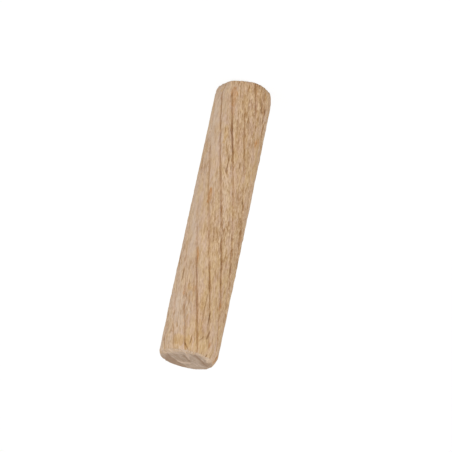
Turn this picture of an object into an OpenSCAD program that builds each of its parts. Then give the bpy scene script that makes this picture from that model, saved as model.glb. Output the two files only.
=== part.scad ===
// Fluted wooden dowel pin, standing on one end.
// One solid: a round beech pin with rounded, slightly off-centre ends and
// narrow left-handed spiral flutes that let glue and air out of the hole.
// Origin: centre of the lower end face. +Z runs along the pin's axis.

/* [Pin] */
// Diameter over the lands, which is the drilled hole's nominal size
pin_d = 8; // [6:0.5:12]
// Length from end face to end face
pin_len = 40; // [25:1:60]

/* [Flutes] */
// Number of flutes round the pin
flute_count = 14; // [8:1:16]
// Width of a flute's mouth, as a share of the pitch between two flutes
flute_share = 0.22; // [0.16:0.02:0.4]
// Depth of a flute below the lands
flute_depth = 0.25; // [0.15:0.05:0.45]
// Angle between a flute and the pin's axis, turning left-handed
flute_angle = 12.6; // [4:0.2:18]
// Where the first flute starts on the lower end, round from +X
flute_start = 20; // [0:0.5:30]

/* [Upper end] */
// Radial cut of the rounded edge at the upper end face
top_cut = 0.6; // [0.35:0.05:0.8]
// Length of the rounded edge along the upper end
top_run = 1.05; // [0.6:0.05:1.2]
// How far the upper rounding sits off the pin's axis
top_shift = 0.24; // [0:0.02:0.24]
// Direction of that shift, round from +X
top_shift_dir = 65; // [0:5:355]

/* [Lower end] */
// Radial cut of the rounded edge at the lower end face
foot_cut = 0.35; // [0.35:0.05:0.8]
// Length of the rounded edge along the lower end
foot_run = 1.0; // [0.6:0.05:1.2]
// How far the lower rounding sits off the pin's axis
foot_shift = 0.22; // [0:0.02:0.24]
// Direction of that shift, round from +X
foot_shift_dir = 310; // [0:5:355]

/* [Hidden] */

pin_r = pin_d / 2;

// Crown radius of the rounded edges, about that of the pin itself, and how
// much steeper than the arc the cone is that leads into it
crown_r = 0.98 * pin_r;
lead_in = 2;

// Flutes: mouth on the surface, twist over the length and steps along it
flute_mouth = flute_share * PI * pin_d / flute_count;
flute_twist = pin_len * tan(flute_angle) / pin_r * 180 / PI;
flute_rise = 0.12;
step_deg = 4;

// Wood of the pin
beech = [0.79, 0.66, 0.51];

// Cross-section of one flute, a rounded trough that opens outwards at +X.
// The rim points lie a little outside the surface, so that the cut is clean.
module flute_section() {
    trough = [for (i = [-3 : 3])
        let (t = i / 3)
        [pin_r - flute_depth * (1 - t * t), t * flute_mouth / 2]];
    rim = [
        [pin_r + flute_rise, flute_mouth / 2],
        [pin_r + flute_rise, -flute_mouth / 2]
    ];
    polygon(concat(trough, rim));
}

// All flutes at once, as one twisted extrusion along the whole pin.
module flutes()
    rotate(flute_start)
        linear_extrude(
            height = pin_len,
            twist = flute_twist,
            slices = ceil(flute_twist / step_deg)
        )
            for (i = [0 : flute_count - 1])
                rotate(i * 360 / flute_count)
                    flute_section();

// Envelope whose upper edge is rounded by an arc of crown_r. The arc starts
// on the pin's surface, run below the end face, and meets the face cut inside
// the surface. Below the arc the envelope widens as a cone, so that it clears
// the pin's side all round when it is shifted.
module rounded_end(cut, run) {
    half_chord = norm([cut, run]) / 2;
    sag = sqrt(crown_r * crown_r - half_chord * half_chord);
    across = [run, cut] / norm([cut, run]);
    centre = [pin_r - cut / 2, pin_len - run / 2] - sag * across;
    start = [pin_r, pin_len - run];
    flare = atan2(start[1] - centre[1], start[0] - centre[0]) + lead_in;
    cone_r = pin_r + start[1] * tan(flare);
    rotate_extrude($fn = 96)
        union() {
            polygon([[0, 0], [cone_r, 0], start, [0, start[1]]]);
            intersection() {
                translate(centre)
                    circle(r = crown_r, $fn = 96);
                translate([0, start[1] - run])
                    square([pin_d, 2 * run]);
            }
        }
}

module dowel_pin()
    color(beech)
        difference() {
            intersection() {
                cylinder(r = pin_r, h = pin_len, $fn = 96);
                rotate(top_shift_dir)
                    translate([top_shift, 0])
                        rounded_end(top_cut, top_run);
                translate([0, 0, pin_len])
                    rotate(foot_shift_dir)
                        translate([foot_shift, 0])
                            mirror([0, 0, 1])
                                rounded_end(foot_cut, foot_run);
            }
            flutes();
        }

dowel_pin();
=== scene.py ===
import math
from itertools import product

import bpy
import numpy as np
from mathutils import Matrix, Vector


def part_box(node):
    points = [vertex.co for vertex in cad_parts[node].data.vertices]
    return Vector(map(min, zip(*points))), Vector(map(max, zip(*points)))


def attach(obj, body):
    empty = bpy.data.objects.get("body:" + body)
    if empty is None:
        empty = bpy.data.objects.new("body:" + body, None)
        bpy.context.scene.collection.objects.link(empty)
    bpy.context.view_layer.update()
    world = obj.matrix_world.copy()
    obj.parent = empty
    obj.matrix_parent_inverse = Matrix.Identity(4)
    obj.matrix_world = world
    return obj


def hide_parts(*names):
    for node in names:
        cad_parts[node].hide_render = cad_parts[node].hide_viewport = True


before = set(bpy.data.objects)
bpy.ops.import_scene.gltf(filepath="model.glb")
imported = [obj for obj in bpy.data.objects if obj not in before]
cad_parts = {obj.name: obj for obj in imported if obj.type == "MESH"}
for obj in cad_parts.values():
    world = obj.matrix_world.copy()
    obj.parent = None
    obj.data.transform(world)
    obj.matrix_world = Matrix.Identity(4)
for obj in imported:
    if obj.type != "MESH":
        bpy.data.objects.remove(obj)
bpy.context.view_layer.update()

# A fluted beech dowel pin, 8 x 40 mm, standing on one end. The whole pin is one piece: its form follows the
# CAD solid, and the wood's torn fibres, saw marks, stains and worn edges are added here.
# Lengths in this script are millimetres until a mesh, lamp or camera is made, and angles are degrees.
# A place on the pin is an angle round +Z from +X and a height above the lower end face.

MM = 0.001
low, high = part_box("dowel_pin")

# ---------------------------------------------------------------- dimensions, as in the CAD model
PIN_R = max(high.x, high.y, -low.x, -low.y) / MM
PIN_LEN = (high.z - low.z) / MM
CROWN_R = 0.98 * PIN_R      # radius of the arc that rounds an end
LEAD_IN = 2                 # how much more the cone below that arc opens than the arc does where they meet

FLUTE_COUNT = 14
FLUTE_SHARE = 0.22          # share of the pitch that the mouth of a flute takes
FLUTE_DEPTH = 0.25
FLUTE_ANGLE = 12.6          # from the axis
FLUTE_START = 20            # where flute 0 meets the lower end
FLUTE_PITCH = 360 / FLUTE_COUNT
FLUTE_MOUTH = FLUTE_SHARE * math.radians(FLUTE_PITCH) * PIN_R
FLUTE_TURN = math.degrees(math.tan(math.radians(FLUTE_ANGLE)) / PIN_R)

# Rounded ends: radial cut at the face, length of the rounding, offset from the axis and its direction
TOP_END = dict(cut=0.6, run=1.05, shift=0.24, toward=65)
FOOT_END = dict(cut=0.35, run=1.0, shift=0.22, toward=310)

# ---------------------------------------------------------------- what sawing and wear add to that form
# The upper end is sawn out of square: it is highest toward one side and this much lower on the other.
TOP_SLANT = dict(drop=0.43, toward=105)
SLANT_RUN = 3               # length below the upper end over which the rows of points bend to that slant
# Worn flats on the lower end: distance out at the face, outward run per mm of height, and direction
FOOT_FLATS = (
    dict(out=3.2, run=0.28, toward=335), dict(out=3.45, run=0.63, toward=210),
    dict(out=2.7, run=4.3, toward=298), dict(out=3.87, run=0.035, toward=184),
)
ROUNDING_BLEND = 0.06       # how far a rounded end and the side melt together
FLAT_BLEND = 0.12           # the same for a worn flat

# Stretches where a flute is weak or strong, by its number: start and stop height, and strength (1 is full)
FLUTE_STRETCHES = {
    0: ((10, 20, 0.05), (20, 22, 0.2), (22, 23.5, 0.45), (23.5, 25.5, 0.6), (25.5, 26.7, 0.65),
        (26.7, 29.5, 0.8), (29.5, 31, 0.75), (31, 40, 0.95)),
    1: ((20, 31, 0.2), (31, 33, 0.4), (33, 40, 0.8)),
    2: ((30, 36, 0.35), (36, 40, 0.6)),
    8: ((0, 4, 0.5),),
    9: ((0, 5, 0.8), (5, 14, 0.25)),
    10: ((0, 2, 0.25), (5, 13, 0.7), (13, 24, 0.3)),
    11: ((0, 1.8, 0.25), (1.8, 4, 0.75), (4, 6, 0.8), (6, 11, 1.3), (11, 17, 0.7), (17, 22, 0.5),
         (22, 29, 0.85), (29, 34, 0.35), (34, 40, 0.05)),
    12: ((0, 9, 0.95), (9, 23, 0.68), (23, 33, 1.0), (33, 40, 0.65)),
    13: ((5, 10, 0.3), (10, 20, 0.8), (20, 23, 0.35), (23, 25, 0.7), (25, 27, 0.45), (27, 31, 1.0),
         (31, 35, 0.8), (35, 40, 0.3)),
}
STRETCH_FADE = 0.5          # half the length over which one stretch fades into the next
FLUTE_WANDER, FLUTE_WAVER = 0.06, 0.05      # how far a flute strays sideways, slowly and fast
FLUTE_UNEVEN = 0.3          # by what share its width and its strength vary
FLUTE_LEVELS = (-1.1, 0.9)  # the noise at which it is weakest and strongest outside those stretches
FLUTE_LEAST_DEPTH, FLUTE_LEAST_SHADE = 0.25, 0.2    # what is left of them where a flute is weakest
FLUTE_EDGE = 1.35           # how far its hollow reaches from its middle, in half mouths

# Strokes of the saw on the upper end face: width, strength, and the points (x, y) it runs through. A stroke
# lies in, and its shade is painted on in brown as well; it falls off softly on the right of its run and fast
# on the left.
FACE_STROKES = (
    (0.5, 0.8, ((2.7, -0.4), (2.3, 0.5), (1.7, 1.3), (1.2, 2.1), (0.3, 2.95))),
    (0.4, 0.8, ((0.5, -1.4), (0.2, -0.6), (-0.15, 0.1), (-0.3, 0.6))),
    (0.7, 0.5, ((1.6, -1.0), (1.1, 0.2), (0.5, 0.7))),
    (0.5, 0.95, ((-0.95, -2.4), (-1.6, -1.1), (-2.2, 0.2), (-2.8, 1.0))),
    (0.25, 0.6, ((-2.6, -2.0), (-2.6, -2.7))),
)
# Pale ridges left between the strokes, written the same way. They stand out and are painted pale; the last
# runs along the lit edge of the lip, where that pale is a painted highlight.
FACE_RIDGES = (
    (0.42, 1.0, ((-0.4, 1.35), (0.4, 1.65), (1.2, 1.55))),
    (0.3, 0.4, ((-0.3, 1.5), (-0.2, 1.0))),
    (0.35, 0.6, ((-0.1, -0.3), (0.1, -1.6), (0.4, -2.9))),
    (0.3, 0.6, ((3.3, -0.7), (2.4, -1.55), (1.4, -2.1), (0.9, -2.3))),
)
SAW_ACROSS = 40             # direction across the strokes
# The fibres of the side run into the upper end face in front: how far, how unevenly, and half their fading
FACE_LIP = dict(reach=0.7, uneven=0.4, fade=0.15)
FACE_ROUNDING_START = 0.7   # share of the radius from which the face rounds down to its rim, in front
# How far each kind of relief of the face lies in, or a ridge stands out
FACE_RELIEF = dict(stroke=0.1, ridge=0.05, fine=0.02, broad=0.035, lip=0.05, rounding=0.2, sink=0.03)
FACE_RIM_CALM = 0.7         # share of the strokes, ridges and grain of that relief that is gone at the rim
STROKE_BEND, STROKE_JAG = 0.1, 0.06         # how far the strokes stray, slowly and fast
# The lower end face is flat, with a slight hollow where the upper one lies lowest: share of how far that
# lies below the middle of its slant, and the most that counts
FOOT_HOLLOW = dict(share=0.3, most=0.2)
# A brown band: it starts and is full at these distances along SAW_ACROSS, and fades and is gone at these x
FACE_BAND = dict(start=1.9, full=2.3, fading=2.9, gone=3.3, strength=0.7)
FACE_PATCH = dict(x=-2.8, y=0.2, radius=1.2, strength=0.6)      # a round brown patch
FACE_RIM_BROWN = 0.35       # how brown the far rim is

# ---------------------------------------------------------------- the wood of the side
GRAIN_LEAN = -0.12          # sideways run of the fibres per mm of height
FIBRE_BEND = 0.12           # how far the fibres stray from that
TORN_TOWARD = 225           # the side with the most torn fibres, up to the middle of the pin
TORN_TURN = (20, 29)        # heights between which the torn side changes over to the opposite one
TORN_SIDE = 0.35            # how much that side adds to the noise of the torn fibres
TORN_LEVELS = (-0.4, 0.6)   # the noise at which the wood is whole and fully torn
SLIT_LEVELS = (0.42, 0.75)  # the noise at which a slit starts and is full
PALE_AND_SHEEN_TOWARD = 335           # the smooth side, painted paler: partly the wood's own paler tone and partly painted sheen
PALE_AND_SHEEN_SIDE = 0.64            # how pale that side is painted, its own tone and the painted sheen together
# How strongly streaks show: everywhere, how much more where the fibres are torn, and less on the pale side
ROUGHNESS = dict(base=0.72, torn=0.5, pale=0.38)
# Pale ends: strength, and the distances from the end at which they start and are full
PALE_TOP = dict(strength=0.28, start=1.0, full=0.3)
PALE_FOOT = dict(strength=0.5, start=0.5, full=0.1)
SINK = 0.02                 # how far the whole side lies below the CAD solid, to leave room for its relief
# How far each kind of relief stands out or lies in
RELIEF = dict(fibre=0.042, fine=0.026, slit=0.07, broad=0.012, highlight=0.03, dark=0.05, end=0.07)
END_RELIEF_RUN = 1.6        # length of the rounder relief at both ends

# Masks that start empty on the side: its marks fill five of them, and an end face fills the others
EMPTY_MASKS = ("warm", "dark", "yellow", "pale", "highlight", "end", "brown", "ridge")
# Marks on the side, by kind: angle, height, width, length, and for a leaning one its sideways run per mm
MARKS = {
    "warm": (
        (287, 3.0, 1.3, 2.5), (293, 1.8, 0.8, 1.4, 0.2), (283, 4.8, 0.5, 1.6), (218.5, 3.4, 0.9, 1.4, -0.3),
        (216, 8.4, 1.2, 1.6), (295, 17.4, 1.0, 2.3), (208, 2.4, 0.7, 1.2), (202, 21.6, 1.1, 1.5),
        (294, 26.1, 0.5, 2.4, -0.22), (304.5, 31.3, 0.7, 1.2), (286, 31, 0.35, 1.1), (232, 38.0, 0.35, 1.0),
        (225, 32.3, 0.4, 1.8), (190, 38.9, 1.2, 1.4),
    ),
    "yellow": (
        (295, 30.7, 0.9, 1.0), (301.5, 38.1, 1.3, 1.6), (290.5, 38.25, 1.2, 1.6), (276.5, 38.3, 1.0, 2.0),
        (289, 8.5, 0.8, 2.6), (331, 1.25, 0.9, 0.8),
    ),
    # the pale marks lie toward that paler side and, like it, are partly painted sheen
    "pale": ((305, 33.8, 3.6, 5.0), (325, 7, 2.0, 11)),
    # the pale fibres beside some flutes are painted highlights; they also stand out a little
    "highlight": (
        (271, 8.7, 0.25, 2.2, -0.2), (268.5, 12.5, 0.2, 1.4, -0.2), (275.5, 14, 0.2, 0.9, -0.3),
        (270.5, 14.6, 0.22, 1.1, -0.35), (252, 14.9, 0.22, 2.2, -0.2), (272.5, 32.3, 0.22, 1.2, -0.2),
        (232.5, 3.4, 0.25, 1.5, -0.2), (272.5, 37.8, 0.2, 1.1, -0.2),
    ),
    "dark": (
        (213, 3.3, 0.3, 0.9, -0.3), (206, 22.4, 0.4, 3.2, -0.12), (226, 3.1, 0.34, 1.8, -0.4),
        (213, 4.7, 0.4, 1.2), (222, 17.5, 0.22, 0.9), (217, 27, 0.3, 2.2), (319.5, 29, 0.3, 2),
        (258, 33.2, 0.14, 3.6), (244.5, 34.5, 0.22, 2.2), (239, 36.8, 0.55, 1.2, 0.35),
        (251, 37.45, 0.22, 0.8, 0.55), (228.8, 39.4, 0.28, 0.5), (193, 39, 0.4, 0.7), (214, 36, 0.3, 1.2),
        (273, 13, 0.2, 2), (277.5, 38.9, 0.2, 0.9, -0.8), (272, 38.0, 0.24, 1.4, 0.1),
        (272.5, 11.7, 0.18, 1.0, -0.2), (272.5, 13.6, 0.25, 0.6, -0.1), (248.5, 12.4, 0.16, 1.3, -0.06),
    ),
}
# On the side away from the camera some more are strewn at random: how many, their kinds in turn, and the
# ranges of their places and sizes
STREWN_MARKS = 16
STREWN_SEED = 11
STREWN_KINDS = ("warm", "dark", "dark", "yellow")
STREWN_ANGLE = (345, 550)
STREWN_HEIGHT = (2, PIN_LEN - 2)
STREWN_WIDTH = dict(warm=(0.4, 0.9), dark=(0.2, 0.35), yellow=(0.4, 0.9))
STREWN_LENGTH = (0.8, 2.5)

# ---------------------------------------------------------------- noise
# Layers of noise, by name: cells per mm across, cells per mm along the pin, and seed
LAYERS = {
    "flute_wander": (1, 0.35, 21), "flute_waver": (1, 1.3, 22), "flute_width": (1, 0.6, 23),
    "flute_strong": (1, 0.3, 24), "flute_uneven": (1, 1.1, 25), "flute_wobble": (1, 0.9, 26),
    "torn": (0.45, 0.15, 31), "fibre": (5.6, 0.95, 32), "fine": (9.0, 2.0, 33), "slit": (5.0, 0.75, 34),
    "broad": (0.9, 0.35, 35), "bend": (0.8, 0.8, 36), "end": (1.6, 1.6, 37), "mottle": (2.6, 0.7, 38),
    "face_bend_x": (1.5, 1, 51), "face_bend_y": (1.5, 1, 52), "face_fine": (4.5, 1, 53),
    "face_broad": (1.2, 1, 54), "face_jag_x": (4, 1, 55), "face_jag_y": (4, 1, 56), "lip": (2.2, 1, 57),
    "ragged": (3, 1.6, 71),
}

# ---------------------------------------------------------------- mesh density
COLUMNS_PER_FLUTE = 28
COLUMNS = COLUMNS_PER_FLUTE * FLUTE_COUNT
COLUMN_CROWDING = 0.35      # how much closer the columns lie in a flute than on the lands
FACE_RINGS = COLUMNS // 8   # gives the rim of an end face's grid one point for each column
END_ROWS = 14
END_ROWS_RUN = 1.1
MIDDLE_ROWS = 172
RIM_ROUNDS = 4              # rounds of trying that find the upper rim

# Texture map, as shares of it: the side as one upright rectangle, and the end faces as two discs beside it
MAP_MARGIN = 0.005
SIDE_MAP_WIDTH = 0.615
FACE_MAP_R = 0.17
FOOT_MAP_MIDDLE = (0.81, 0.25)
TOP_MAP_MIDDLE = (0.81, 0.75)

# ---------------------------------------------------------------- colours, as 0 to 255 sRGB
YELLOW_TAN, PINK_TAN = (198, 166, 121), (200, 169, 146)
TAN_LEVELS = (0.36, 0.64)   # the noise at which the wood is all yellow and all pink
DARK_FIBRE, LIGHT_FIBRE = (158, 117, 72), (228, 200, 165)
# Stains under the streaks of the wood: mask, strength and colour. The pale one also carries painted sheen on
# one side.
DEEP_STAINS_AND_SHEEN = (
    ("pale", 0.75, (201, 182, 165)), ("yellow", 0.68, (195, 157, 102)), ("warm", 0.95, (178, 119, 58)),
    ("torn", 0.12, (168, 126, 80)),
)
# Streaks, broad ones first: strength and colour, the noise at which they start and are full, and the cells
# per mm and other settings of that noise
STREAKS = (
    dict(weight=0.3, stain=DARK_FIBRE, start=0.45, full=0.7, across=0.7, along=0.2, detail=1, shift=27),
    dict(weight=0.45, stain=(180, 135, 84), start=0.5, full=0.72, across=0.35, along=0.1, shift=33),
    dict(weight=0.5, stain=(210, 187, 166), start=0.5, full=0.72, across=0.35, along=0.1, shift=39),
    dict(weight=0.85, stain=DARK_FIBRE, start=0.5, full=0.7, across=5.0, along=0.75, detail=1, shift=3,
         distortion=0.3),
    dict(weight=0.5, stain=LIGHT_FIBRE, start=0.47, full=0.66, across=5.8, along=1.0, detail=1, shift=9,
         distortion=0.3),
    dict(weight=0.6, stain=DARK_FIBRE, start=0.5, full=0.66, across=9.0, along=1.6, detail=1, shift=15),
    dict(weight=0.4, stain=LIGHT_FIBRE, start=0.47, full=0.65, across=9.5, along=2.2, detail=1, shift=21),
)
# Colours over the streaks: mask, strength, colour, and for a flute the mask at which they start and are
# full.
# Slits and dark marks are stains. In the flutes the colour is partly the wood's browner tone and partly
# painted shade, darkest at the bottom, and the pale fibres beside some flutes are painted highlights.
CLEAR_STAINS_SHADE_AND_HIGHLIGHTS = (
    ("slit", 0.5, (150, 108, 66)), ("groove", 0.42, (166, 117, 66), 0.1, 1.0),
    ("groove", 0.4, (138, 93, 51), 0.55, 1.0), ("highlight", 0.7, (226, 197, 162)),
    ("dark", 0.75, (136, 94, 52)),
)
# End grain, what lies on it, and how fully it covers the colours of the side
END_GREY, END_PALE = (162, 139, 118), (186, 164, 144)
END_LEVELS = (0.35, 0.65)
# brown of the end face; along the saw strokes it is painted shade
END_BROWN = (142, 112, 87)
# pale of the ridges; on the one along the lip's edge it is a painted highlight
RIDGE_PALE_AND_HIGHLIGHT = ("ridge", 0.9, (218, 191, 167))
END_COVER = 0.92

# ---------------------------------------------------------------- camera and light
CAMERA_AIM = (-1.325, 0, 20.131)
CAMERA_DISTANCE = 290.84
CAMERA_ELEVATION = 18.14
CAMERA_ROLL = 168.03
CAMERA_LENS = 168.85
WORLD_STRENGTH = 0.825
FLOOR_REACH_M = 4.0         # metres from the middle of the floor to each side
FLOOR_GREY = 0.85
FLOOR_GLOW = 1.06           # brightness of the floor where it is seen as white
FLOOR_GLOW_SHARE = 0.85     # the rest of what is seen is the lit floor, with the pin's shadow


# ================================================================ noise and masks
def noise(points, across, along, seed):
    """Smooth noise from -1 to 1, with cells of 1/across mm in X and Y and 1/along mm in Z.

    Each corner of a cell gets a number of its own by mixing its place and the seed with large primes.
    """
    scaled = points * np.array([across, across, along]) + 17.3 * seed
    cell = np.floor(scaled).astype(np.int64)
    part = scaled - cell
    part = part * part * (3 - 2 * part)
    total = np.zeros(len(points))
    for corner in product((0, 1), repeat=3):
        x, y, z = (cell + corner).T
        mixed = (x * 73856093) ^ (y * 19349663) ^ (z * 83492791) ^ (seed * 39916801)
        mixed = ((mixed ^ (mixed >> 13)) * 1274126177) & 0x7FFFFFFF
        mixed = ((mixed ^ (mixed >> 11)) * 668265263) & 0x7FFFFFFF
        weight = np.prod(np.where(corner, part, 1 - part), axis=1)
        total += weight * (mixed / 0x3FFFFFFF - 1)
    return total


def layer(points, name):
    """One of the named layers of noise at some points, from -1 to 1."""
    return noise(points, *LAYERS[name])


def smooth_step(value, low_edge, high_edge):
    """0 below low_edge, 1 above high_edge, and smooth between."""
    t = np.clip((value - low_edge) / (high_edge - low_edge), 0, 1)
    return t * t * (3 - 2 * t)


def within(value, start, stop, fade):
    """1 from start to stop and 0 outside, fading over twice fade at each."""
    return smooth_step(value, start - fade, start + fade) * smooth_step(-value, -stop - fade, -stop + fade)


def soft_min(a, b, blend):
    """The smaller of two values, rounded where they are within blend of each other."""
    near = np.clip(blend - np.abs(a - b), 0, None) / blend
    return np.minimum(a, b) - near * near * blend / 4


def facing(angle, direction):
    """1 where an angle points in a direction, 0 where it is square to it, and -1 where it points away."""
    return np.cos(np.radians(angle - direction))


def along_direction(x, y, direction):
    """How far (x, y) lies out from the axis toward a direction."""
    turn = math.radians(direction)
    return x * math.cos(turn) + y * math.sin(turn)


# ================================================================ the pin's form
def end_radius(end, from_face):
    """Radius of a rounded end at a distance below its face, about the end's own shifted axis."""
    cut, run = end["cut"], end["run"]
    half_chord = math.hypot(cut, run) / 2
    sag = math.sqrt(CROWN_R ** 2 - half_chord ** 2)
    centre_r = PIN_R - cut / 2 - sag * run / (2 * half_chord)
    centre_down = run / 2 + sag * cut / (2 * half_chord)
    flare = math.atan2(centre_down - run, PIN_R - centre_r) + math.radians(LEAD_IN)
    arc = centre_r + np.sqrt(CROWN_R ** 2 - (centre_down - np.minimum(from_face, run)) ** 2)
    return arc + np.clip(from_face - run, 0, None) * math.tan(flare)


def end_reach(end, angle, from_face):
    """Distance from the pin's axis to the surface of a rounded end."""
    turn = np.radians(angle - end["toward"])
    radius = end_radius(end, from_face)
    return end["shift"] * np.cos(turn) + np.sqrt(radius ** 2 - (end["shift"] * np.sin(turn)) ** 2)


def flat_reach(flat, angle, height):
    """Distance from the axis to a worn flat, or far out where it faces another way."""
    least = 0.05
    share = facing(angle, flat["toward"])
    reach = (flat["out"] + flat["run"] * height) / np.maximum(share, least)
    return np.where(share > least, reach, 2 * PIN_R)


class Place:
    """Where points of the side are: angle, height, nearest flute and distance over to it.

    skin is the place on a plain pin that is untwisted until its fibres stand upright, for making noise of.
    """

    def __init__(self, angle, height):
        self.angle = angle % 360
        self.height = height
        turned = (angle - FLUTE_START + FLUTE_TURN * height) / FLUTE_PITCH
        self.flute = np.round(turned) % FLUTE_COUNT
        self.over = np.radians((turned - np.round(turned)) * FLUTE_PITCH) * PIN_R
        turn = np.radians(angle) - GRAIN_LEAN / PIN_R * height
        self.skin = np.stack([PIN_R * np.cos(turn), PIN_R * np.sin(turn), height], axis=1)


def envelope(place):
    """Distance out to the round pin with its rounded and worn ends, before the flutes."""
    reach = np.full(len(place.height), PIN_R)
    reach = soft_min(reach, end_reach(TOP_END, place.angle, PIN_LEN - place.height), ROUNDING_BLEND)
    reach = soft_min(reach, end_reach(FOOT_END, place.angle, place.height), ROUNDING_BLEND)
    for flat in FOOT_FLATS:
        reach = soft_min(reach, flat_reach(flat, place.angle, place.height), FLAT_BLEND)
    return reach


def flute_trough(place):
    """Depth of the flutes below the lands, and how dark each point of a flute is painted, from 0 to 1:
    partly the wood's browner tone and partly painted shade, darkest in the middle.
    """
    lane = 3.7 * place.flute        # sets the flutes apart in the noise, so that each gets its own
    strip = np.stack([lane, np.zeros(len(place.height)), place.height], axis=1)
    wander = FLUTE_WANDER * layer(strip, "flute_wander") + FLUTE_WAVER * layer(strip, "flute_waver")
    widen = 1 + FLUTE_UNEVEN * layer(strip, "flute_width")
    swell = layer(strip, "flute_strong") + 0.5 * layer(strip, "flute_uneven")
    strong = smooth_step(swell, *FLUTE_LEVELS)
    wobble = 1 + FLUTE_UNEVEN * layer(strip, "flute_wobble")
    for flute, stretches in FLUTE_STRETCHES.items():
        for start, stop, strength in stretches:
            along = within(place.height, start, stop, STRETCH_FADE)
            strong = strong + (strength * wobble - strong) * along * (place.flute == flute)
    half = FLUTE_MOUTH / 2 * widen
    off = np.clip(np.abs(place.over - wander) / half, 0, FLUTE_EDGE) / FLUTE_EDGE
    inside = (1 - off ** 1.5) ** 2
    depth = FLUTE_LEAST_DEPTH + (1 - FLUTE_LEAST_DEPTH) * strong
    shade = FLUTE_LEAST_SHADE + (1 - FLUTE_LEAST_SHADE) * strong
    return FLUTE_DEPTH * depth * inside, shade * inside


def spot(place, angle, height, width, length, lean=0):
    """A soft-edged, ragged spindle on the side: 1 in the middle and 0 outside."""
    up = place.height - height
    turn = (place.angle - angle + 180) % 360 - 180
    ragged = 0.3 * width * layer(place.skin, "ragged")
    over = np.radians(turn) * PIN_R - lean * up + ragged
    share = np.abs(up) / (length / 2)
    half = width / 2 * np.sqrt(np.clip(1 - share * share, 0.001, 1))
    return smooth_step(1 - np.abs(over) / half, 0, 0.5) * (share < 1)


def all_marks():
    """The marks listed in MARKS and the ones strewn over the far side: kind, and then what spot() takes."""
    marks = [(kind, *where) for kind, places in MARKS.items() for where in places]
    random = np.random.default_rng(STREWN_SEED)
    for i in range(STREWN_MARKS):
        kind = STREWN_KINDS[i % len(STREWN_KINDS)]
        ranges = (STREWN_ANGLE, STREWN_HEIGHT, STREWN_WIDTH[kind], STREWN_LENGTH)
        marks.append((kind, *(random.uniform(*limits) for limits in ranges)))
    return marks


def pale_end(end, from_face):
    """How pale the wood is at a distance from an end."""
    return end["strength"] * smooth_step(-from_face, -end["start"], -end["full"])


def side_masks(place, groove, torn, slit, broad):
    """The masks that colour the side, by name: 1 where each shows most."""
    masks = dict(groove=groove, torn=torn, slit=slit * (0.25 + 0.75 * torn))
    for kind in EMPTY_MASKS:
        masks[kind] = np.zeros(len(place.height))
    for kind, *where in all_marks():
        masks[kind] = np.maximum(masks[kind], spot(place, *where))
    masks["warm"] *= 0.75 + 0.25 * np.clip(2.5 * layer(place.skin, "mottle"), -1, 1)
    # one side is painted paler, partly as the wood's own tone and partly as painted sheen
    pale_and_sheen_side = smooth_step(facing(place.angle, PALE_AND_SHEEN_TOWARD), 0.25, 1)
    rough = ROUGHNESS["base"] + ROUGHNESS["torn"] * torn
    masks["rough"] = rough * (1 - ROUGHNESS["pale"] * pale_and_sheen_side)
    pale_ends = pale_end(PALE_TOP, PIN_LEN - place.height) + pale_end(PALE_FOOT, place.height)
    pale = np.maximum(PALE_AND_SHEEN_SIDE * pale_and_sheen_side, pale_ends) * (1 + 0.5 * broad)
    masks["pale"] = np.maximum(masks["pale"], pale)
    return masks


def side_points(angle, height):
    """Points of the side of the pin, in mm, with the masks that colour them and their skin places."""
    place = Place(angle, height)
    trough, groove = flute_trough(place)
    torn_side = TORN_SIDE * facing(place.angle, TORN_TOWARD) * (1 - 2 * smooth_step(height, *TORN_TURN))
    torn = smooth_step(layer(place.skin, "torn") + torn_side, *TORN_LEVELS)
    bent = place.skin + FIBRE_BEND * layer(place.skin, "bend")[:, None]
    slit = smooth_step(layer(bent, "slit"), *SLIT_LEVELS)
    broad = layer(place.skin, "broad")
    masks = side_masks(place, groove, torn, slit, broad)

    fibres = RELIEF["fibre"] * layer(bent, "fibre") + RELIEF["fine"] * layer(bent, "fine")
    relief = (0.4 + torn) * (fibres - RELIEF["slit"] * slit) + RELIEF["broad"] * broad
    relief += RELIEF["highlight"] * masks["highlight"] - RELIEF["dark"] * masks["dark"]
    from_middle = np.abs(height - PIN_LEN / 2)
    near_end = smooth_step(from_middle, PIN_LEN / 2 - END_RELIEF_RUN, PIN_LEN / 2)
    relief += RELIEF["end"] * near_end * layer(place.skin, "end")
    reach = np.minimum(envelope(place), PIN_R - trough) + relief - SINK
    turn = np.radians(angle)
    points = np.stack([reach * np.cos(turn), reach * np.sin(turn), height], axis=1)
    return points, masks, place.skin


def near_line(x, y, line, width):
    """1 on a bent line in an end face, fading softly to the right of its run and fast to the left."""
    near = np.zeros(len(x))
    for start, end in zip(line, line[1:]):
        run = np.subtract(end, start)
        length = math.hypot(*run)
        ahead = ((x - start[0]) * run[0] + (y - start[1]) * run[1]) / length
        beside = ((x - start[0]) * run[1] - (y - start[1]) * run[0]) / length
        past = ahead - np.clip(ahead, 0, length)
        side = np.where(beside > 0, beside, -2 * beside)
        near = np.maximum(near, smooth_step(1 - np.hypot(side, past) / width, 0, 1))
    return near


def strongest(x, y, lines):
    """How strongly FACE_STROKES or FACE_RIDGES show at points of an end face, from 0 to 1."""
    found = np.zeros(len(x))
    for width, strength, line in lines:
        found = np.maximum(found, strength * near_line(x, y, line, width))
    return found


def skin_beyond(x, y, height):
    """Skin places for an end face, as if the side ran on past it, so that its fibres reach inward."""
    return Place(np.degrees(np.arctan2(y, x)), height).skin


def face_brown(x, y):
    """How strongly the brown band and patch of the upper end face show."""
    across = along_direction(x, y, SAW_ACROSS)
    band = FACE_BAND["strength"] * smooth_step(across, FACE_BAND["start"], FACE_BAND["full"])
    band = band * smooth_step(-x, -FACE_BAND["gone"], -FACE_BAND["fading"])
    from_patch = np.hypot(x - FACE_PATCH["x"], y - FACE_PATCH["y"]) / FACE_PATCH["radius"]
    patch = FACE_PATCH["strength"] * smooth_step(1 - from_patch, 0, 0.7)
    return np.maximum(band, patch)


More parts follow.
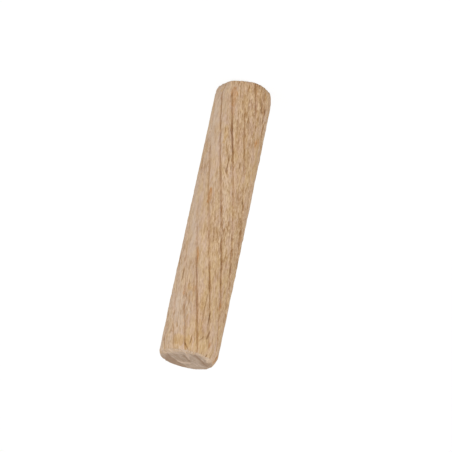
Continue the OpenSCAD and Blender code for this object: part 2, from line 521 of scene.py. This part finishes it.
def end_face(x, y, rim_share):
    """How far the upper end face lies below PIN_LEN, and its masks.

    rim_share is 0 in the middle of the face and 1 at its rim.
    """
    flat = np.stack([x, y, np.zeros(len(x))], axis=1)
    slant = TOP_SLANT["drop"] * (1 - np.clip(along_direction(x, y, TOP_SLANT["toward"]) / PIN_R, -1, 1)) / 2
    front = smooth_step(-y / np.maximum(np.hypot(x, y), 0.1), -0.1, 0.5)    # 1 on the -Y side
    x = x + STROKE_BEND * layer(flat, "face_bend_x") + STROKE_JAG * layer(flat, "face_jag_x")
    y = y + STROKE_BEND * layer(flat, "face_bend_y") + STROKE_JAG * layer(flat, "face_jag_y")
    strokes, ridges = strongest(x, y, FACE_STROKES), strongest(x, y, FACE_RIDGES)
    inward = (1 - rim_share) * CROWN_R
    fibres = layer(skin_beyond(x, y, PIN_LEN + inward), "fibre")
    lip_reach = FACE_LIP["reach"] * (1 + FACE_LIP["uneven"] * layer(flat, "lip"))
    lip = front * smooth_step(lip_reach - inward, -FACE_LIP["fade"], FACE_LIP["fade"])

    depth = FACE_RELIEF
    grain = depth["fine"] * layer(flat, "face_fine") + depth["broad"] * layer(flat, "face_broad")
    uneven = depth["stroke"] * strokes - depth["ridge"] * ridges + grain + depth["sink"]
    rounding = depth["rounding"] * front * smooth_step(rim_share, FACE_ROUNDING_START, 1) ** 2
    uneven = uneven * (1 - FACE_RIM_CALM * rim_share ** 8)
    drop = slant + uneven + rounding + depth["lip"] * lip * fibres

    far_rim = FACE_RIM_BROWN * (1 - front) * rim_share ** 12
    # along the saw strokes the brown is painted shade on the dark sides of their steps
    brown = np.maximum.reduce([face_brown(x, y), far_rim, strokes]) * (1 - ridges)
    return drop, dict(end=1 - lip, pale=lip, rough=0.9 * lip, brown=brown, ridge=ridges)


# ================================================================ mesh
def column_turns():
    """Where the columns lie across one pitch, closer together in the flute: -0.5 to 0.5."""
    even = np.arange(COLUMNS_PER_FLUTE) / COLUMNS_PER_FLUTE - 0.5
    return even - COLUMN_CROWDING / (2 * np.pi) * np.sin(2 * np.pi * even)


def row_heights():
    """Heights of the rows of points on a square-ended pin, closer together at the two ends."""
    end = np.arange(END_ROWS) * END_ROWS_RUN / END_ROWS
    middle = np.linspace(END_ROWS_RUN, PIN_LEN - END_ROWS_RUN, MIDDLE_ROWS + 1)
    return np.concatenate([end, middle, (PIN_LEN - end)[::-1]])


def top_rim_drop(turns):
    """How far each column's last point lies below PIN_LEN. It is found by a few rounds of trying."""
    drop = np.full(len(turns), TOP_SLANT["drop"] / 2)
    for _ in range(RIM_ROUNDS):
        height = PIN_LEN - drop
        points, _, _ = side_points(FLUTE_START + turns - FLUTE_TURN * height, height)
        drop, _ = end_face(points[:, 0], points[:, 1], np.ones(len(turns)))
    return drop


def face_grid():
    """An end face as a square grid pulled out to a disc: for each point, its ring and its place round it."""
    span = np.arange(-FACE_RINGS, FACE_RINGS + 1)
    i, j = np.meshgrid(span, span, indexing="ij")
    ring = np.maximum(np.abs(i), np.abs(j))
    safe = np.maximum(ring, 1)
    right, top, left = i == ring, j == ring, i == -ring
    sides, steps = [right & ~(j == -ring), top, left], [j + ring, 3 * ring - i, 5 * ring - j]
    step = np.select(sides, steps, 7 * ring + i)
    return ring, (step % (8 * safe)) / (8 * safe)


def face_points(rim, first_number, rim_start, up):
    """The inner points of an end face, its quads, masks and skin places, from its rim."""
    ring, share = face_grid()
    inner = ring < FACE_RINGS
    at = share * COLUMNS
    first = np.floor(at).astype(int) % COLUMNS
    part = (at - np.floor(at))[..., None]
    edge = rim[first] * (1 - part) + rim[(first + 1) % COLUMNS] * part
    rim_share = (ring / FACE_RINGS)[inner]
    points = edge[inner] * rim_share[:, None]
    x, y = points[:, 0], points[:, 1]
    drop, masks = end_face(x if up else -x, y, rim_share)
    if up:
        points[:, 2] = PIN_LEN - drop
    else:
        below = np.clip(drop - TOP_SLANT["drop"] / 2, 0, FOOT_HOLLOW["most"])
        points[:, 2] = FOOT_HOLLOW["share"] * below * (1 - rim_share ** 4)

    number = np.empty(ring.shape, dtype=int)
    number[inner] = first_number + np.arange(inner.sum())
    number[~inner] = rim_start + np.round(at[~inner]).astype(int) % COLUMNS
    corners = [number[:-1, :-1], number[1:, :-1], number[1:, 1:], number[:-1, 1:]]
    quads = np.stack(corners, axis=-1).reshape(-1, 4)
    inward = (1 - rim_share) * CROWN_R
    skin = skin_beyond(x, y, PIN_LEN + inward if up else -inward)
    return points, quads if up else quads[:, ::-1], masks, skin


def side_map(rows):
    """Where the corners of the side's quads lie on the texture map."""
    column, row = np.meshgrid(np.arange(COLUMNS), np.arange(rows - 1))
    right, top = column + 1, row + 1
    across = np.stack([column, right, right, column], axis=-1) / COLUMNS
    up = np.stack([row, row, top, top], axis=-1) / (rows - 1)
    across, up = SIDE_MAP_WIDTH * across, (1 - 2 * MAP_MARGIN) * up
    return np.stack([MAP_MARGIN + across, MAP_MARGIN + up], axis=-1).reshape(-1, 4, 2)


def face_map(points, quads, middle):
    """Where the corners of an end face's quads lie on the texture map, as a disc round its middle there."""
    return points[quads][:, :, :2] * FACE_MAP_R / PIN_R + np.array(middle)


def pin_surface():
    """The closed surface of the pin: points, quads, map corners, masks and skin places."""
    heights = row_heights()
    rows = len(heights)
    turns = (np.arange(FLUTE_COUNT)[:, None] + column_turns()[None, :]).ravel() * FLUTE_PITCH
    bend = np.clip((heights - PIN_LEN + SLANT_RUN) / SLANT_RUN, 0, 1)
    height = heights[:, None] - bend[:, None] * top_rim_drop(turns)[None, :]
    angle = FLUTE_START + turns[None, :] - FLUTE_TURN * height
    points, masks, skin = side_points(angle.ravel(), height.ravel())

    column = np.arange(COLUMNS)
    after = (column + 1) % COLUMNS
    base = (np.arange(rows - 1) * COLUMNS)[:, None]
    above = base + COLUMNS
    side_quads = np.stack([base + column, base + after, above + after, above + column], axis=-1)
    quads, corners = [side_quads.reshape(-1, 4)], [side_map(rows)]

    last_row = (rows - 1) * COLUMNS
    for rim_start, up, middle in ((0, False, FOOT_MAP_MIDDLE), (last_row, True, TOP_MAP_MIDDLE)):
        rim = points[rim_start:rim_start + COLUMNS]
        inner_points, face_quads, face_masks, face_skin = face_points(rim, len(points), rim_start, up)
        points = np.concatenate([points, inner_points])
        skin = np.concatenate([skin, face_skin])
        for name in masks:
            masks[name] = np.concatenate([masks[name], face_masks.get(name, np.zeros(len(inner_points)))])
        quads.append(face_quads)
        corners.append(face_map(points, face_quads, middle))
    return points, np.concatenate(quads), np.concatenate(corners), masks, skin


def store(mesh, name, value):
    """Keeps a number or a vector for each point of the mesh, under the name that a material reads it by."""
    kind, field = ("FLOAT", "value") if value.ndim == 1 else ("FLOAT_VECTOR", "vector")
    attribute = mesh.attributes.new(name, kind, "POINT")
    attribute.data.foreach_set(field, value.astype(np.float32).ravel())


def make_pin():
    """The pin as one object, with its masks, noise places and texture map."""
    points, quads, corners, masks, skin = pin_surface()
    mesh = bpy.data.meshes.new("dowel_pin_wood")
    mesh.from_pydata((points * MM).tolist(), [], quads.tolist())
    mesh.polygons.foreach_set("use_smooth", np.ones(len(mesh.polygons), dtype=bool))
    for name, value in masks.items():
        store(mesh, name, value)
    x, y, z = points.T
    sawn = np.stack([along_direction(x, y, SAW_ACROSS), z, along_direction(x, y, SAW_ACROSS + 90)], axis=1)
    store(mesh, "skin", skin)
    store(mesh, "sawn", sawn)
    texture_map = mesh.uv_layers.new(name="OFBake")
    texture_map.uv.foreach_set("vector", corners.astype(np.float32).ravel())
    mesh.update()
    pin = bpy.data.objects.new("dowel_pin_wood", mesh)
    bpy.context.scene.collection.objects.link(pin)
    return pin


# ================================================================ materials
def linear(red, green, blue):
    """A colour written in 0 to 255 sRGB, as the linear values that shaders take."""
    def one(value):
        value /= 255
        return value / 12.92 if value <= 0.04045 else ((value + 0.055) / 1.055) ** 2.4
    return one(red), one(green), one(blue), 1.0


class Nodes:
    """Short calls for building a node tree."""

    def __init__(self, tree):
        self.tree = tree

    def add(self, kind, **settings):
        """A new node with some of its settings changed."""
        node = self.tree.nodes.new(kind)
        for name, value in settings.items():
            setattr(node, name, value)
        return node

    def put(self, value, socket):
        """Links an output socket, or sets a plain value."""
        if isinstance(value, bpy.types.NodeSocket):
            self.tree.links.new(value, socket)
        else:
            socket.default_value = value

    def math(self, operation, a, b):
        """The result of an operation on two values."""
        node = self.add("ShaderNodeMath", operation=operation)
        self.put(a, node.inputs[0])
        self.put(b, node.inputs[1])
        return node.outputs[0]

    def mix(self, share, a, b):
        """Colour a where share is 0, and b where it is 1."""
        node = self.add("ShaderNodeMix", data_type="RGBA")
        self.put(share, node.inputs[0])
        self.put(a, node.inputs[6])
        self.put(b, node.inputs[7])
        return node.outputs[2]

    def mix_shaders(self, share, a, b):
        """Shader a where share is 0, and b where it is 1."""
        node = self.add("ShaderNodeMixShader")
        for value, socket in zip((share, a.outputs[0], b.outputs[0]), node.inputs):
            self.put(value, socket)
        return node.outputs[0]

    def mask(self, name):
        """One of the masks that the mesh carries."""
        return self.add("ShaderNodeAttribute", attribute_name=name).outputs["Fac"]

    def grain(self, across, along, detail=2.0, roughness=0.5, distortion=0.0, shift=0.0, place="skin"):
        """Noise stretched along the fibres, with cells of 1/across by 1/along mm: 0 to 1, around 0.5."""
        place = self.add("ShaderNodeAttribute", attribute_name=place).outputs["Vector"]
        scale = self.add("ShaderNodeMapping", vector_type="POINT")
        scale.inputs["Scale"].default_value = (across, across, along)
        scale.inputs["Location"].default_value = (shift, shift, shift)
        self.put(place, scale.inputs["Vector"])
        texture = self.add("ShaderNodeTexNoise", noise_dimensions="3D")
        texture.inputs["Scale"].default_value = 1
        texture.inputs["Detail"].default_value = detail
        texture.inputs["Roughness"].default_value = roughness
        texture.inputs["Distortion"].default_value = distortion
        self.put(scale.outputs[0], texture.inputs["Vector"])
        return texture.outputs["Fac"]

    def looking(self):
        """1 for the rays of a camera, a reflection or a view through glass, and 0 for all others."""
        path = self.add("ShaderNodeLightPath").outputs
        through = self.math("MAXIMUM", path["Is Glossy Ray"], path["Is Transmission Ray"])
        return self.math("MAXIMUM", path["Is Camera Ray"], through)

    def between(self, value, start, stop):
        """0 below start, 1 above stop, and smooth between."""
        node = self.add("ShaderNodeMapRange", clamp=True, interpolation_type="SMOOTHSTEP")
        self.put(value, node.inputs[0])
        node.inputs[1].default_value = start
        node.inputs[2].default_value = stop
        return node.outputs[0]

    def tinted(self, colour, mask, weight, stain, *levels):
        """A colour with another 0 to 255 colour over it, as strongly as a mask times weight; it lays on
        stains, painted shade and painted highlights.

        levels are the mask's values at which the stain starts and is full, if they aren't 0 and 1.
        """
        found = self.mask(mask)
        if levels:
            found = self.between(found, *levels)
        return self.mix(self.math("MULTIPLY", found, weight), colour, linear(*stain))

    def streaked(self, colour, weight, stain, start, full, **grain):
        """A colour with streaks of a 0 to 255 stain over it, stronger where the wood is rough."""
        found = self.between(self.grain(**grain), start, full)
        share = self.math("MULTIPLY", self.math("MULTIPLY", found, weight), self.mask("rough"))
        return self.mix(share, colour, linear(*stain))


def beech_material():
    """Raw beech: yellow to pink tan, streaks along the fibres, stains, browner flutes darkened further with
    painted shade, painted highlights beside some flutes, a paler side that is partly painted sheen, and
    greyer end grain with painted shade in its saw strokes.
    """
    material = bpy.data.materials.new("beech")
    material.use_nodes = True
    tree = material.node_tree
    shader = tree.nodes["Principled BSDF"]
    n = Nodes(tree)

    wander = n.grain(across=1.3, along=0.4, detail=3, roughness=0.65)
    colour = n.mix(n.between(wander, *TAN_LEVELS), linear(*YELLOW_TAN), linear(*PINK_TAN))
    for stain in DEEP_STAINS_AND_SHEEN:
        colour = n.tinted(colour, *stain)
    for streak in STREAKS:
        colour = n.streaked(colour, **streak)
    for stain in CLEAR_STAINS_SHADE_AND_HIGHLIGHTS:
        colour = n.tinted(colour, *stain)

    speckle = n.grain(across=3.5, along=1.3, detail=3, roughness=0.6, shift=5, place="sawn")
    end_colour = n.mix(n.between(speckle, *END_LEVELS), linear(*END_GREY), linear(*END_PALE))
    end_colour = n.mix(n.mask("brown"), end_colour, linear(*END_BROWN))
    end_colour = n.tinted(end_colour, *RIDGE_PALE_AND_HIGHLIGHT)
    colour = n.mix(n.math("MULTIPLY", n.mask("end"), END_COVER), colour, end_colour)
    n.put(colour, shader.inputs["Base Color"])

    shader.inputs["Roughness"].default_value = 0.75
    shader.inputs["Specular IOR Level"].default_value = 0.3
    bump = n.add("ShaderNodeBump")
    bump.inputs["Strength"].default_value = 0.7
    bump.inputs["Distance"].default_value = 0.1 * MM
    n.put(n.grain(across=8.0, along=2.4, detail=3, roughness=0.6), bump.inputs["Height"])
    n.put(bump.outputs[0], shader.inputs["Normal"])
    return material


def floor_material():
    """A pale floor that a camera sees as white, with the pin's shadow left faintly on it."""
    material = bpy.data.materials.new("floor_white")
    material.use_nodes = True
    tree = material.node_tree
    n = Nodes(tree)
    diffuse = tree.nodes["Principled BSDF"]
    diffuse.inputs["Base Color"].default_value = (FLOOR_GREY, FLOOR_GREY, FLOOR_GREY, 1)
    diffuse.inputs["Roughness"].default_value = 1
    diffuse.inputs["Specular IOR Level"].default_value = 0
    glow = n.add("ShaderNodeEmission")
    glow.inputs["Strength"].default_value = FLOOR_GLOW
    share = n.math("MULTIPLY", n.looking(), FLOOR_GLOW_SHARE)
    n.put(n.mix_shaders(share, diffuse, glow), tree.nodes["Material Output"].inputs["Surface"])
    return material


# ================================================================ studio
def make_floor():
    """A wide plain floor at the height of the pin's lower end."""
    near, far = -FLOOR_REACH_M, FLOOR_REACH_M
    corners = [(near, near, 0), (far, near, 0), (far, far, 0), (near, far, 0)]
    mesh = bpy.data.meshes.new("floor")
    mesh.from_pydata(corners, [], [(0, 1, 2, 3)])
    mesh.materials.append(floor_material())
    floor = bpy.data.objects.new("floor", mesh)
    bpy.context.scene.collection.objects.link(floor)
    return floor


def make_world():
    """An even surround that lights the pin from all sides, and is itself seen as pure white."""
    world = bpy.data.worlds.new("studio")
    bpy.context.scene.world = world
    world.use_nodes = True
    nodes = world.node_tree.nodes
    n = Nodes(world.node_tree)
    lit, seen = nodes["Background"], n.add("ShaderNodeBackground")
    for background, strength in ((lit, WORLD_STRENGTH), (seen, 1)):
        background.inputs["Color"].default_value = (1, 1, 1, 1)
        background.inputs["Strength"].default_value = strength
    n.put(n.mix_shaders(n.looking(), lit, seen), nodes["World Output"].inputs["Surface"])


def make_lamp(name, azimuth, elevation, distance, size, power):
    """A square soft lamp that faces the middle of the pin. Azimuth runs round +Z from +X."""
    lamp = bpy.data.lights.new(name, "AREA")
    lamp.shape = "SQUARE"
    lamp.size = size * MM
    lamp.energy = power
    obj = bpy.data.objects.new(name, lamp)
    bpy.context.scene.collection.objects.link(obj)
    turn, rise = math.radians(azimuth), math.radians(elevation)
    away = Vector((math.cos(turn) * math.cos(rise), math.sin(turn) * math.cos(rise), math.sin(rise)))
    middle = Vector((0, 0, PIN_LEN / 2 * MM))
    obj.location = middle + away * distance * MM
    obj.rotation_mode = "QUATERNION"
    obj.rotation_quaternion = (-away).to_track_quat("-Z", "Y")


def make_camera():
    """The camera looks along +Y and down, rolled so that the upper end shows at the foot of the picture."""
    rise, roll = math.radians(CAMERA_ELEVATION), math.radians(CAMERA_ROLL)
    forward = Vector((0, math.cos(rise), -math.sin(rise)))
    level_right, level_up = Vector((1, 0, 0)), Vector((0, math.sin(rise), math.cos(rise)))
    up = level_up * math.cos(roll) + level_right * math.sin(roll)
    right = forward.cross(up)
    data = bpy.data.cameras.new("camera")
    data.sensor_width = 36
    data.lens = CAMERA_LENS
    data.clip_start, data.clip_end = 0.01, 20
    camera = bpy.data.objects.new("camera", data)
    bpy.context.scene.collection.objects.link(camera)
    place = (Vector(CAMERA_AIM) - forward * CAMERA_DISTANCE) * MM
    turned = Matrix((right, up, -forward)).transposed().to_4x4()
    camera.matrix_world = Matrix.Translation(place) @ turned
    bpy.context.scene.camera = camera


# ================================================================ the scene
pin = make_pin()
pin.data.materials.append(beech_material())
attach(pin, "root")
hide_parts("dowel_pin")

floor = make_floor()
make_world()
make_lamp("key", azimuth=-25, elevation=22, distance=220, size=120, power=0.055)
make_lamp("fill", azimuth=-100, elevation=30, distance=260, size=160, power=0.15)
make_camera()
bpy.context.scene.view_settings.view_transform = "Standard"
